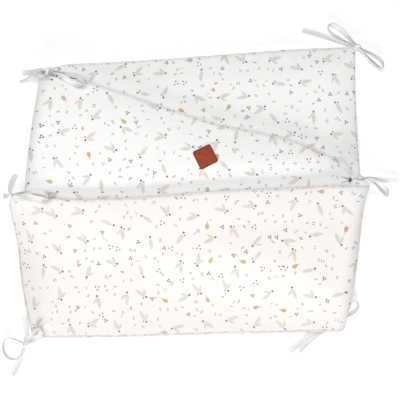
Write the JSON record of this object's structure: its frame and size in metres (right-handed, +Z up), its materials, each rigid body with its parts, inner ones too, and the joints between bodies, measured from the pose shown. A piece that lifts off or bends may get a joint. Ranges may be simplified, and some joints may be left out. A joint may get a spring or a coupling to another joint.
{
  "type": "crib bumper",
  "caption": "Padded cotton crib bumper lying folded in flat panels on a surface, with tape ties in bows at its corners and folds and a small leather patch.",
  "frame": {"origin": "on the surface it lies on, below the middle of the bounding box", "axes": "+X runs along the folded panels to the right, +Y towards the upper edge as it is seen from above, +Z up"},
  "size_m": [0.8202, 0.7371, 0.0971],
  "materials": {
    "printed_cotton": "matte white cotton with a small scattered print",
    "cotton_tape": "matte white woven cotton tape",
    "leather": "semi-matte reddish-brown leather"
  },
  "bodies": {
    "root": {"bumper": "printed_cotton", "patch": "leather", "tie_back_right_top": "cotton_tape", "tie_left_fold_top": "cotton_tape", "tie_right_fold_top": "cotton_tape", "tie_front_left_top": "cotton_tape", "tie_front_left_bottom": "cotton_tape", "tie_right_fold_bottom": "cotton_tape"}
  },
  "joints": []
}
